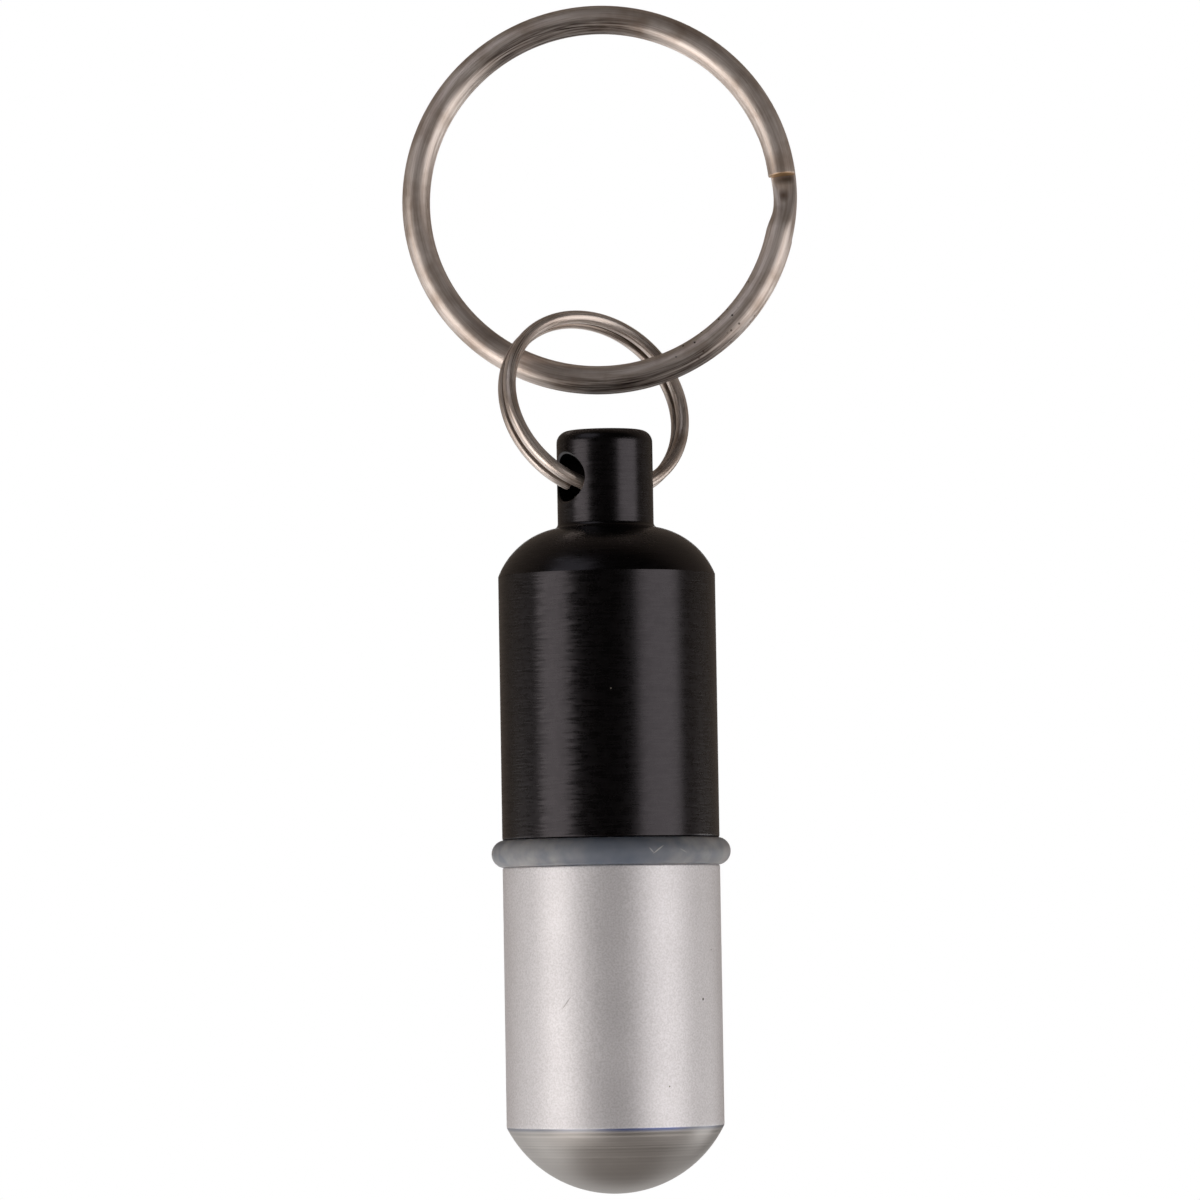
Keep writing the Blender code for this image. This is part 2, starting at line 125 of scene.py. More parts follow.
def break_edges(piece, rings, width, steps):
    """Round the turned edges that lie at these (radius, height) rings."""
    select_only(piece)
    centre = Vector((axis_x, axis_y))
    picked = set()
    for vertex in piece.data.vertices:
        across = (vertex.co.xy - centre).length
        for radius, height in rings:
            if max(abs(across - radius), abs(vertex.co.z - height)) < same_place:
                picked.add(vertex.index)
    bpy.ops.object.mode_set(mode="EDIT")
    bpy.ops.mesh.select_mode(type="EDGE")
    bpy.ops.mesh.select_all(action="DESELECT")
    bpy.ops.object.mode_set(mode="OBJECT")
    for edge in piece.data.edges:
        edge.select = set(edge.vertices) <= picked
    bpy.ops.object.mode_set(mode="EDIT")
    bpy.ops.mesh.bevel(offset=width, segments=steps, affect="EDGES")
    bpy.ops.object.mode_set(mode="OBJECT")


def cut_rings(piece, heights):
    """Add level rings of edges, so that a wall's smooth shading stays true beside its edges."""
    select_only(piece)
    bpy.ops.object.mode_set(mode="EDIT")
    for height in heights:
        bpy.ops.mesh.select_all(action="SELECT")
        bpy.ops.mesh.bisect(
            plane_co=(axis_x, axis_y, height), plane_no=(0, 0, 1), threshold=same_place
        )
    bpy.ops.object.mode_set(mode="OBJECT")


def thread_tooth(name, root, crest, root_width, crest_width, first_turn, last_turn, fade_turns):
    """Wind a right-handed thread tooth with the Screw modifier, and close and fade its ends."""
    bpy.ops.object.select_all(action="DESELECT")
    bpy.ops.mesh.primitive_plane_add(size=1)
    tooth = bpy.context.object
    tooth.name = name
    corners = (
        (root, 0, -root_width / 2),
        (crest, 0, -crest_width / 2),
        (root, 0, root_width / 2),
        (crest, 0, crest_width / 2),
    )
    for vertex, corner in zip(tooth.data.vertices, corners):
        vertex.co = corner
    bpy.ops.object.mode_set(mode="EDIT")
    bpy.ops.mesh.select_all(action="SELECT")
    bpy.ops.mesh.delete(type="ONLY_FACE")
    bpy.ops.object.mode_set(mode="OBJECT")
    turns = last_turn - first_turn
    wind = tooth.modifiers.new("wind", "SCREW")
    wind.axis = "Z"
    wind.angle = math.tau * turns
    wind.screw_offset = thread_pitch * turns
    wind.steps = wind.render_steps = round(turns * thread_facets)
    bpy.ops.object.modifier_apply(modifier=wind.name)
    lowest_share = 0.08
    if fade_turns:
        for vertex in tooth.data.vertices:
            turn = math.atan2(vertex.co.y, vertex.co.x) / math.tau
            turn += round(vertex.co.z / thread_pitch - turn)
            share = min(1, max(lowest_share, min(turn, turns - turn) / fade_turns))
            across = vertex.co.xy.length
            vertex.co.xy *= (root + (across - root) * share) / across
    bpy.ops.object.mode_set(mode="EDIT")
    bpy.ops.mesh.select_all(action="SELECT")
    bpy.ops.mesh.fill_holes(sides=len(corners))
    bpy.ops.mesh.select_all(action="SELECT")
    bpy.ops.mesh.normals_make_consistent(inside=False)
    bpy.ops.object.mode_set(mode="OBJECT")
    tooth.rotation_euler.z = math.tau * first_turn
    tooth.location = (axis_x, axis_y, thread_start_z + thread_pitch * first_turn)
    bpy.ops.object.transform_apply(location=True, rotation=True, scale=True)
    return tooth


def combine(piece, tool, operation):
    """Join or cut a closed piece with a closed tool, and throw the tool away."""
    select_only(piece)
    cut = piece.modifiers.new("cut", "BOOLEAN")
    cut.operation = operation
    cut.solver = "MANIFOLD"
    cut.object = tool
    bpy.ops.object.modifier_apply(modifier=cut.name)
    bpy.data.objects.remove(tool)


dome_reach = math.asin(capsule_radius / dome_radius)
body_profile = [(0, body_low.z)]
for k in range(1, dome_stations + 1):
    slope = dome_reach * k / dome_stations
    body_profile.append(
        (dome_radius * math.sin(slope), body_low.z + dome_radius * (1 - math.cos(slope)))
    )
body_profile += [
    (capsule_radius, seat_z),
    (land_radius, seat_z),
    (land_radius, land_top_z),
    (root_radius, land_top_z),
    (root_radius, spigot_top_z),
    (bore_radius, spigot_top_z),
    (bore_radius, body_low.z + floor_thickness + drill_height),
    (0, body_low.z + floor_thickness),
]
body_shell = lathe("body_shell", body_profile, turned_facets)
break_edges(body_shell, [(capsule_radius, dome_edge_z)], width=0.05 * mm, steps=2)
break_edges(
    body_shell,
    [
        (capsule_radius, seat_z),
        (land_radius, land_top_z),
        (root_radius, spigot_top_z),
        (bore_radius, spigot_top_z),
    ],
    width=edge_break,
    steps=edge_steps,
)
cut_rings(
    body_shell,
    [dome_edge_z + 0.1 * mm, dome_edge_z + 0.4 * mm, seat_z - 0.5 * mm, seat_z - 0.2 * mm],
)
male_thread = thread_tooth(
    "male_thread",
    root=root_radius - tooth_bite,
    crest=land_radius,
    root_width=tooth_root_width,
    crest_width=tooth_crest_width,
    first_turn=0,
    last_turn=thread_turns,
    fade_turns=0.35,
)
combine(body_shell, male_thread, "UNION")
bpy.ops.object.shade_smooth_by_angle(angle=smooth_angle)

# Anodised aluminium 6061, fine bead-blasted: pale grey with a broad soft shine and a grain that
# just shows. The dome, turned after that, is glossier, with lathe lines and a bluish line where
# the tool started. Grain and lathe lines are drawn coarser than the real ones, which wouldn't show.
grain_size = 0.12 * mm
grain_depth = 0.006 * mm
cloud_size = 4 * mm
speck_spacing = 2.2 * mm
speck_radius = 0.07 * mm
lathe_line_pitch = 0.16 * mm
lathe_line_depth = 0.012 * mm
turned_blur = 0.03 * mm
noise_low = 0.35
noise_high = 0.65


def linear(code):
    """An sRGB hex colour as the linear colour that a shader takes."""
    parts = [int(code[i : i + 2], 16) / 255 for i in (1, 3, 5)]
    return (*[p / 12.92 if p <= 0.04045 else ((p + 0.055) / 1.055) ** 2.4 for p in parts], 1)


def new_material(name):
    """A new material, its node tree and its Principled shader."""
    material = bpy.data.materials.new(name)
    material.use_nodes = True
    return material, material.node_tree, material.node_tree.nodes["Principled BSDF"]


def set_inputs(node, inputs):
    """Set or link inputs, each by its name, or by its number where names repeat."""
    for place, value in inputs.items():
        if isinstance(value, bpy.types.NodeSocket):
            node.id_data.links.new(value, node.inputs[place])
        else:
            node.inputs[place].default_value = value


def add_node(tree, kind, inputs=(), **settings):
    """Add a node with its settings and inputs."""
    node = tree.nodes.new("ShaderNode" + kind)
    for option, value in settings.items():
        setattr(node, option, value)
    set_inputs(node, dict(inputs))
    return node


def tint(tree, colour, second, pattern, low, high, most=1.0):
    """Lay a second colour over the first as a pattern rises from its low to its high value."""
    share = add_node(
        tree, "MapRange", {"Value": pattern, "From Min": low, "From Max": high, "To Max": most}
    )
    mixed = add_node(
        tree, "Mix", {0: share.outputs["Result"], 6: colour, 7: second}, data_type="RGBA"
    )
    return mixed.outputs[2]


def mark(tree, here, place, size, turn=(0, 0, 0)):
    """A soft ellipsoid spot: 1 at its place, falling to 0 at its half sizes."""
    spot = add_node(
        tree,
        "Mapping",
        {"Vector": here, "Location": place, "Rotation": turn, "Scale": size},
        vector_type="TEXTURE",
    )
    return add_node(
        tree, "TexGradient", {"Vector": spot.outputs[0]}, gradient_type="SPHERICAL"
    ).outputs["Fac"]


def specks(tree, here, spacing, radius):
    """Sparse round dots: 1 inside a dot, 0 outside."""
    cells = add_node(tree, "TexVoronoi", {"Vector": here, "Scale": 1 / spacing})
    return add_node(
        tree,
        "MapRange",
        {
            "Value": cells.outputs["Distance"],
            "From Min": radius / spacing,
            "From Max": 0.5 * radius / spacing,
        },
    ).outputs["Result"]


def front_point(across, height):
    """A point on the front of the capsule's wall, at a height above the bottom of the dome."""
    depth = math.sqrt(capsule_radius**2 - across**2)
    return (axis_x + across, axis_y - depth, body_low.z + height)


satin_aluminium, tree, shader = new_material("satin_anodised_aluminium")
here = add_node(tree, "TexCoord").outputs["Object"]
height = add_node(tree, "SeparateXYZ", {"Vector": here}).outputs["Z"]
grain = add_node(
    tree, "TexNoise", {"Vector": here, "Scale": 1 / grain_size, "Detail": 2.0}
).outputs["Fac"]
cloud = add_node(
    tree, "TexNoise", {"Vector": here, "Scale": 1 / cloud_size, "Detail": 3.0}
).outputs["Fac"]
lathe_lines = add_node(
    tree,
    "TexNoise",
    {"W": height, "Scale": 1 / lathe_line_pitch, "Detail": 2.0},
    noise_dimensions="1D",
).outputs["Fac"]
line_strength = add_node(
    tree,
    "MapRange",
    {
        "Value": height,
        "From Min": dome_edge_z - 2.4 * mm,
        "From Max": dome_edge_z - 1.2 * mm,
        "To Min": 0.15,
    },
).outputs["Result"]
lathe_lines = add_node(
    tree, "Mix", {"Factor": line_strength, "A": 0.5, "B": lathe_lines}
).outputs["Result"]
wall = add_node(
    tree,
    "MapRange",
    {
        "Value": height,
        "From Min": dome_edge_z - turned_blur,
        "From Max": dome_edge_z + turned_blur,
    },
).outputs["Result"]

wall_colour = tint(tree, linear("#E3E1E3"), linear("#F6F4F7"), grain, noise_low, noise_high)
dark = specks(tree, here, speck_spacing, speck_radius)
wall_colour = tint(tree, wall_colour, linear("#6E6660"), dark, 0, 1)
scratch = mark(
    tree,
    here,
    place=front_point(-3.0 * mm, 12.3 * mm),
    size=(0.6 * mm, 0.5 * mm, 0.05 * mm),
    turn=(0, math.radians(-52), math.radians(-25)),
)
wall_colour = tint(tree, wall_colour, linear("#8A827E"), scratch, 0, 0.5, most=0.55)
pit = mark(tree, here, place=front_point(5.7 * mm, 12.4 * mm), size=(0.1 * mm,) * 3)
wall_colour = tint(tree, wall_colour, linear("#4A443F"), pit, 0, 0.4)

dome_colour = tint(
    tree, linear("#ADAAA7"), linear("#C4C0BD"), lathe_lines, noise_low, noise_high
)
blue = mark(tree, here, place=front_point(2.0 * mm, dome_height), size=(4 * mm,) * 3)
line_colour = tint(tree, linear("#8F919A"), linear("#6E7BA8"), blue, 0.1, 0.6)
dome_colour = tint(
    tree,
    dome_colour,
    line_colour,
    height,
    low=dome_edge_z - 0.28 * mm,
    high=dome_edge_z - 0.08 * mm,
)

wall_roughness = add_node(
    tree,
    "MapRange",
    {"Value": cloud, "From Min": 0.3, "From Max": 0.7, "To Min": 0.46, "To Max": 0.53},
).outputs["Result"]
dome_roughness = add_node(
    tree,
    "MapRange",
    {
        "Value": lathe_lines,
        "From Min": noise_low,
        "From Max": noise_high,
        "To Min": 0.36,
        "To Max": 0.46,
    },
).outputs["Result"]
metallic = add_node(tree, "Mix", {"Factor": wall, "A": 0.95, "B": 0.68})
roughness = add_node(
    tree, "Mix", {"Factor": wall, "A": dome_roughness, "B": wall_roughness}
)
line_relief = add_node(tree, "Mix", {"Factor": wall, "A": 0.5, "B": 0.06})
grain_relief = add_node(tree, "Mix", {"Factor": wall, "A": 0.1, "B": 0.5})
relief = add_node(
    tree,
    "Bump",
    {
        "Strength": line_relief.outputs["Result"],
        "Distance": lathe_line_depth,
        "Height": lathe_lines,
    },
)
relief = add_node(
    tree,
    "Bump",
    {
        "Strength": grain_relief.outputs["Result"],
        "Distance": grain_depth,
        "Height": grain,
        "Normal": relief.outputs[0],
    },
)
set_inputs(
    shader,
    {
        "Base Color": tint(tree, dome_colour, wall_colour, wall, 0, 1),
        "Metallic": metallic.outputs["Result"],
        "Roughness": roughness.outputs["Result"],
        "Normal": relief.outputs[0],
    },
)
body_shell.data.materials.clear()
body_shell.data.materials.append(satin_aluminium)
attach(body_shell, "body")
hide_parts("capsule_body")

# Cap: aluminium bar, turned to a round shoulder and a straight neck, cross-drilled for the small
# ring, bored and threaded inside, then black anodised and polished to a gloss.
neck_radius = 3.1 * mm
neck_length = 6.34 * mm
neck_edge_radius = 0.8 * mm
neck_crown = 0.06 * mm
shoulder_height = 3.1 * mm
crease_angle = math.radians(21.2)
crown_thickness = 1.25 * mm
socket_clearance = 0.12 * mm
flank_clearance = 0.06 * mm
socket_end_z = spigot_top_z + 0.4 * mm
thread_runout = 0.8
neck_root_z = cap_high.z - neck_length
crease_z = neck_root_z - shoulder_height
shoulder_step = capsule_radius - neck_radius
shoulder_radius = (shoulder_step**2 + shoulder_height**2) / (
    2 * shoulder_step * math.cos(crease_angle) - 2 * shoulder_height * math.sin(crease_angle)
)
shoulder_centre_r = capsule_radius - shoulder_radius * math.cos(crease_angle)
shoulder_centre_z = crease_z - shoulder_radius * math.sin(crease_angle)
socket_radius = root_radius + socket_clearance
bore_tip_z = neck_root_z - crown_thickness
hole_z = neck_root_z + neck_length / 2
hole_radius = 1.55 * mm
hole_turn = math.radians(33)
hole_chamfer = 0.12 * mm
neck_fillet = 0.35 * mm
fillet_centre_r = neck_radius + neck_fillet
fillet_centre_z = shoulder_centre_z + math.sqrt(
    (shoulder_radius + neck_fillet) ** 2 - (fillet_centre_r - shoulder_centre_r) ** 2
)
shoulder_end = math.atan2(
    fillet_centre_z - shoulder_centre_z, fillet_centre_r - shoulder_centre_r
)
neck_flat = neck_radius - neck_edge_radius
neck_edge_z = cap_high.z - neck_crown - neck_edge_radius
neck_ring_spacing = 0.2 * mm


def arc(centre_radius, centre_height, radius, start, end, steps):
    """Stations of a turned arc, without its first point."""
    angles = [start + (end - start) * k / steps for k in range(1, steps + 1)]
    return [
        (centre_radius + radius * math.cos(a), centre_height + radius * math.sin(a))
        for a in angles
    ]


neck_edge = arc(neck_flat, neck_edge_z, neck_edge_radius, start=math.pi / 2, end=0, steps=10)
fillet = arc(
    fillet_centre_r,
    fillet_centre_z,
    neck_fillet,
    start=math.pi,
    end=math.pi + shoulder_end,
    steps=8,
)
shoulder = arc(
    shoulder_centre_r,
    shoulder_centre_z,
    shoulder_radius,
    start=shoulder_end,
    end=crease_angle,
    steps=28,
)
cap_profile = [
    (0, cap_high.z),
    (neck_flat / 2, cap_high.z - neck_crown / 4),
    (neck_flat, cap_high.z - neck_crown),
    *neck_edge,
    (neck_radius, fillet_centre_z),
    *fillet,
    *shoulder,
    (capsule_radius, rim_z),
    (land_radius, rim_z),
    (socket_radius, rim_z + land_radius - socket_radius),
    (socket_radius, socket_end_z),
    (bore_radius, socket_end_z),
    (bore_radius, bore_tip_z - drill_height),
    (0, bore_tip_z),
]
cap_shell = lathe("cap_shell", cap_profile, turned_facets)
break_edges(
    cap_shell, [(capsule_radius, rim_z), (land_radius, rim_z)], width=edge_break, steps=edge_steps
)
neck_rings = math.floor((neck_edge_z - fillet_centre_z) / neck_ring_spacing)
cut_rings(
    cap_shell,
    [neck_edge_z - neck_ring_spacing * k for k in range(1, neck_rings)]
    + [crease_z - 0.3 * mm, rim_z + 0.2 * mm, rim_z + 0.5 * mm],
)

# The drill for the cross hole, whose chamfers follow the round of the neck.
hole_reach = neck_radius + 1 * mm
hole_wide = hole_radius + 2 * hole_chamfer
hole_profile = [
    (0, -hole_reach),
    (hole_wide, -hole_reach),
    (hole_wide, -neck_radius - hole_chamfer),
    (hole_radius, -neck_radius + hole_chamfer),
    (hole_radius, neck_radius - hole_chamfer),
    (hole_wide, neck_radius + hole_chamfer),
    (hole_wide, hole_reach),
    (0, hole_reach),
]
drill = lathe("drill", hole_profile, facets=96, centre=(0, 0))
for vertex in drill.data.vertices:
    across = vertex.co.x
    saddle = neck_radius - math.sqrt(neck_radius**2 - across**2)
    vertex.co.z -= math.copysign(saddle, vertex.co.z)
drill.rotation_euler = (math.pi / 2, 0, hole_turn + math.pi / 2)
drill.location = (axis_x, axis_y, hole_z)
bpy.ops.object.transform_apply(location=True, rotation=True, scale=True)
combine(cap_shell, drill, "DIFFERENCE")
female_thread = thread_tooth(
    "female_thread",
    root=root_radius - tooth_bite,
    crest=land_radius + socket_clearance,
    root_width=tooth_root_width + 2 * flank_clearance,
    crest_width=tooth_crest_width + 2 * flank_clearance,
    first_turn=-thread_runout,
    last_turn=thread_turns + thread_runout,
    fade_turns=0,
)
combine(cap_shell, female_thread, "DIFFERENCE")
bpy.ops.object.shade_smooth_by_angle(angle=smooth_angle)

# Black hard-anodised aluminium, sealed and polished: a near-black with a clear, faintly violet
# gloss. The lathe left long shallow ripples round the side, which fray the edges of every
# reflection, most of all on the left. A few dust specks and a hairline scratch lie on it.
ripple_length = 1.5 * mm
ripple_height = 0.14 * mm
ripple_depth = 0.012 * mm
ripple_tilt = 0.24
haze_size = 0.5 * mm
haze_depth = 0.01 * mm
dust_spacing = 3.2 * mm
dust_radius = 0.05 * mm
black_aluminium, tree, shader = new_material("black_anodised_aluminium")
coordinates = add_node(tree, "TexCoord")
here = coordinates.outputs["Object"]
parts = add_node(tree, "SeparateXYZ", {"Vector": here})
stretched = add_node(
    tree,
    "Mapping",
    {"Vector": here, "Scale": (1 / ripple_length, 1 / ripple_length, 1 / ripple_height)},
)
ripples = add_node(
    tree, "TexNoise", {"Vector": stretched.outputs[0], "Scale": 1.0, "Detail": 3.0}
).outputs["Fac"]
haze = add_node(
    tree, "TexNoise", {"Vector": here, "Scale": 1 / haze_size, "Detail": 4.0}
).outputs["Fac"]

# The ripples swing the surface to and fro round the side, more towards the left.
leftward = add_node(
    tree,
    "MapRange",
    {
        "Value": parts.outputs["X"],
        "From Min": axis_x + 0.5 * mm,
        "From Max": axis_x - 2.5 * mm,
        "To Min": 0.06,
    },
).outputs["Result"]
swing = add_node(tree, "Math", {0: ripples, 1: 0.5}, operation="SUBTRACT").outputs[0]
swing = add_node(tree, "Math", {0: swing, 1: leftward}, operation="MULTIPLY").outputs[0]
swing = add_node(tree, "Math", {0: swing, 1: ripple_tilt}, operation="MULTIPLY").outputs[0]
facing = coordinates.outputs["Normal"]
round_the_side = add_node(
    tree, "VectorMath", {0: facing, 1: (0, 0, 1)}, operation="CROSS_PRODUCT"
).outputs[0]
sway = add_node(
    tree, "VectorMath", {0: round_the_side, "Scale": swing}, operation="SCALE"
).outputs[0]
facing = add_node(tree, "VectorMath", {0: facing, 1: sway}, operation="ADD").outputs[0]
facing = add_node(
    tree,
    "VectorTransform",
    {"Vector": facing},
    vector_type="NORMAL",
    convert_from="OBJECT",
    convert_to="WORLD",
).outputs[0]
relief = add_node(
    tree,
    "Bump",
    {"Strength": 0.8, "Distance": ripple_depth, "Height": ripples, "Normal": facing},
)
relief = add_node(
    tree,
    "Bump",
    {"Strength": 0.25, "Distance": haze_depth, "Height": haze, "Normal": relief.outputs[0]},
)

dust = specks(tree, here, dust_spacing, dust_radius)
coat_colour = tint(tree, linear("#020202"), linear("#8C857C"), dust, 0, 1)
hairline = mark(
    tree,
    here,
    place=front_point(5.6 * mm, 32.0 * mm),
    size=(1.1 * mm, 0.6 * mm, 0.04 * mm),
    turn=(0, math.radians(-62), math.radians(50)),
)
coat_colour = tint(tree, coat_colour, linear("#000000"), hairline, 0, 0.5, most=0.7)
gloss = add_node(
    tree,
    "MapRange",
    {"Value": ripples, "From Min": 0.35, "From Max": 0.7, "To Min": 0.2, "To Max": 0.27},
)
haze_share = add_node(
    tree,
    "MapRange",
    {"Value": haze, "From Min": 0.35, "From Max": 0.7, "To Min": 0.2, "To Max": 0.6},
)
roughness = add_node(
    tree,
    "Mix",
    {"Factor": haze_share.outputs["Result"], "A": gloss.outputs["Result"], "B": 0.36},
)
set_inputs(
    shader,
    {
        "Base Color": coat_colour,
        "Roughness": roughness.outputs["Result"],
        "Specular Tint": (1, 0.92, 1, 1),
        "Specular IOR Level": 0.54,
        "Normal": relief.outputs[0],
    },
)
cap_shell.data.materials.clear()
cap_shell.data.materials.append(black_aluminium)
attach(cap_shell, "cap")
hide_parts("capsule_cap")

# O-ring: moulded grey silicone, stretched over the shell's land and squeezed a little flat
# between the seat and the cap's rim. It makes the joint water-tight.
seal_low, seal_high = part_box("seal_o_ring")
seal_section = 1.8 * mm
seal_outer = (seal_high.x - seal_low.x) / 2
half_space = (seal_high.z - seal_low.z) / 2
bpy.ops.object.select_all(action="DESELECT")
bpy.ops.mesh.primitive_torus_add(
    major_radius=seal_outer - seal_section / 2,
    minor_radius=seal_section / 2,
    major_segments=turned_facets,
    minor_segments=48,
    location=(axis_x, axis_y, (seal_low.z + seal_high.z) / 2),
)
o_ring = bpy.context.object
o_ring.name = "o_ring"
for vertex in o_ring.data.vertices:
    vertex.co.z = max(-half_space, min(half_space, vertex.co.z))
bpy.ops.object.transform_apply(location=True, rotation=True, scale=True)
bpy.ops.object.shade_smooth_by_angle(angle=smooth_angle)

# Translucent grey silicone: waxy and a little blue, blotched where the moulding flowed, with
# painted shade darkening the middle of the front, and three pale nicks from handling.
blotch_size = 1.6 * mm
flow_size = 0.25 * mm
seal_height = 21.9 * mm
silicone, tree, shader = new_material("grey_silicone_rubber")
here = add_node(tree, "TexCoord").outputs["Object"]
blotches = add_node(
    tree, "TexNoise", {"Vector": here, "Scale": 1 / blotch_size, "Detail": 3.0}
).outputs["Fac"]
rubber_colour = tint(
    tree, linear("#7C8189"), linear("#A6A5A6"), blotches, noise_low, noise_high
)
# Painted shade: a darker blue-grey patch in the middle of the front, where the side lamps leave the
# seal dimmer.
painted_front_shade = mark(
    tree, here, place=front_point(0.5 * mm, seal_height), size=(4.6 * mm, 3 * mm, 3 * mm)
)
rubber_colour = tint(tree, rubber_colour, linear("#5A6474"), painted_front_shade, 0, 0.6, most=0.75)
for across, turn, length, strength in (
    (2.95 * mm, -38, 0.55 * mm, 0.8),
    (2.55 * mm, 50, 0.28 * mm, 0.6),
    (4.5 * mm, 30, 0.4 * mm, 0.5),
):
    x, y, z = front_point(across, seal_height)
    nick = mark(
        tree,
        here,
        place=(x, y - 0.55 * mm, z),
        size=(length, 0.5 * mm, 0.05 * mm),
        turn=(0, math.radians(turn), 0),
    )
    rubber_colour = tint(tree, rubber_colour, linear("#C9C9C8"), nick, 0, 0.4, strength)
roughness = add_node(
    tree,
    "MapRange",
    {"Value": blotches, "From Min": 0.3, "From Max": 0.7, "To Min": 0.42, "To Max": 0.55},
)
flow = add_node(tree, "TexNoise", {"Vector": here, "Scale": 1 / flow_size, "Detail": 2.0})
relief = add_node(
    tree,
    "Bump",
    {"Strength": 0.3, "Distance": 0.02 * mm, "Height": flow.outputs["Fac"]},
)
set_inputs(
    shader,
    {
        "Base Color": rubber_colour,
        "Roughness": roughness.outputs["Result"],
        "Subsurface Weight": 0.7,
        "Subsurface Radius": (0.6, 0.7, 0.8),
        "Subsurface Scale": 1 * mm,
        "Normal": relief.outputs[0],
    },
)
o_ring.data.materials.clear()
o_ring.data.materials.append(silicone)
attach(o_ring, "seal")
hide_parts("seal_o_ring")

# Large split ring: round spring-steel wire, wound in two coils and pressed shut, so that the coils
# are flat where they meet and domed outside, then nickel plated. Its front coil ends at the right,
# where the wire steps across to the back coil.
coil_gap = 0.08 * mm
end_gap = 0.2 * mm
end_chamfer = 0.1 * mm
dome_fullness = 1.9
wire_smooth_angle = math.radians(25)
large_radius = 12.91 * mm
large_width = 1.78 * mm
large_thickness = 0.96 * mm
large_middle = large_radius - large_width / 2
large_crossing = (math.radians(-12.5), math.radians(5))
large_lean = math.radians(-5.6)
large_turn = math.radians(-3.1)


def pressed(across, depth, side, flat_fullness, flat_share):
    """Press a round wire's section flat where it meets the other coil: domed on the side given."""
    widest = side * (2 * flat_share - 1)
    if depth * side > 0:
        power = 2 / dome_fullness
        reach = side * 2 * (1 - flat_share)
    else:
        power = 2 / flat_fullness
        reach = -side * 2 * flat_share
    return math.copysign(abs(across) ** power, across), widest + reach * abs(depth) ** power


def squeezed(way, past, narrowest):
    """The wire's share of its full width: narrowest half way over the crossing, full past it."""
    rebound = 0.35
    pinch = math.sin(math.pi * min(way, 0.5)) ** 2 - rebound * max(0, 2 * way - 1) ** 2
    return 1 + (narrowest - 1) * pinch * (1 - past)


def split_ring(name, outer, width, thickness, crossing, crossing_width, flat, steps):
    """Wind a wire into an open coil of nearly two turns, then press the coil shut.

    The side of its section that meets the other coil gets the fullness and the share in flat.
    """
    radius = outer - width / 2
    start, end = crossing
    first = end + end_gap / radius
    last = start + 2 * math.tau - end_gap / radius
    open_pitch = 4 * thickness
    sides = 32
    bpy.ops.object.select_all(action="DESELECT")
    bpy.ops.mesh.primitive_circle_add(vertices=sides, radius=1)
    ring = bpy.context.object
    ring.name = name
    for vertex in ring.data.vertices:
        c, s = vertex.co.xy
        vertex.co = (radius + c * width / 2, 0, s * thickness / 2)
    wind = ring.modifiers.new("wind", "SCREW")
    wind.axis = "Z"
    wind.angle = last - first
    wind.screw_offset = open_pitch * (last - first) / math.tau
    wind.steps = wind.render_steps = round(steps * (last - first) / math.tau)
    bpy.ops.object.modifier_apply(modifier=wind.name)
    bpy.ops.object.mode_set(mode="EDIT")
    bpy.ops.mesh.select_mode(type="EDGE")
    bpy.ops.mesh.select_all(action="SELECT")
    bpy.ops.mesh.fill_holes(sides=sides)
    bpy.ops.mesh.select_all(action="SELECT")
    bpy.ops.mesh.normals_make_consistent(inside=False)
    bpy.ops.mesh.select_all(action="DESELECT")
    bpy.ops.object.mode_set(mode="OBJECT")
    for face in ring.data.polygons:
        if len(face.vertices) == sides:
            face.select = True
    bpy.ops.object.mode_set(mode="EDIT")
    bpy.ops.mesh.select_mode(type="FACE")
    bpy.ops.mesh.bevel(offset=end_chamfer, segments=2, affect="EDGES")
    bpy.ops.object.mode_set(mode="OBJECT")

    # The wire as if it lay straight: its length, and each point's place in its section. The finish
    # follows it.
    straight_wire = ring.data.attributes.new("straight_wire", "FLOAT_VECTOR", "POINT")
    shift = (thickness + coil_gap) / 2
    for vertex, straight in zip(ring.data.vertices, straight_wire.data):
        turned = math.atan2(vertex.co.y, vertex.co.x)
        turned += math.tau * round((vertex.co.z / open_pitch) - turned / math.tau)
        axial = vertex.co.z - open_pitch * turned / math.tau
        radial = vertex.co.xy.length - radius
        angle = first + turned
        straight.vector = (radius * angle, radial, axial)
        way = min(1, max(0, (angle - start - math.tau) / (end - start)))
        past = min(1, max(0, (angle - end - math.tau) / (end - start)))
        ease = way * way * (3 - 2 * way)
        squeeze = squeezed(way, past, crossing_width / width)
        front = pressed(2 * radial / width, 2 * axial / thickness, 1, *flat)
        back = pressed(2 * radial / width, 2 * axial / thickness, -1, *flat)
        radial = (front[0] + (back[0] - front[0]) * ease) * width / 2
        axial = (front[1] + (back[1] - front[1]) * ease) * thickness / 2
        reach = outer - width / 2 * squeeze + radial * squeeze
        depth = shift * (1 - 2 * ease) + axial
        vertex.co = (reach * math.cos(angle), reach * math.sin(angle), depth)
    return ring


def hang_ring(ring, centre, lean, turn):
    """Stand a ring up, lean and turn it about its centre, and put that place in its mesh."""
    select_only(ring)
    ring.rotation_euler = (lean + math.pi / 2, 0, turn)
    ring.location = centre
    bpy.ops.object.transform_apply(location=True, rotation=True, scale=True)
    bpy.ops.object.shade_smooth_by_angle(angle=wire_smooth_angle)


large_ring = split_ring(
    "large_ring_wire",
    outer=large_radius,
    width=large_width,
    thickness=large_thickness,
    crossing=large_crossing,
    crossing_width=1.52 * mm,
    flat=(5, 0.22),
    steps=180,
)
upward = Vector((0, 0, 1))
upward.rotate(Euler((large_lean, 0, large_turn)))
large_centre = -upward * (large_radius - large_width)
hang_ring(large_ring, large_centre, large_lean, large_turn)
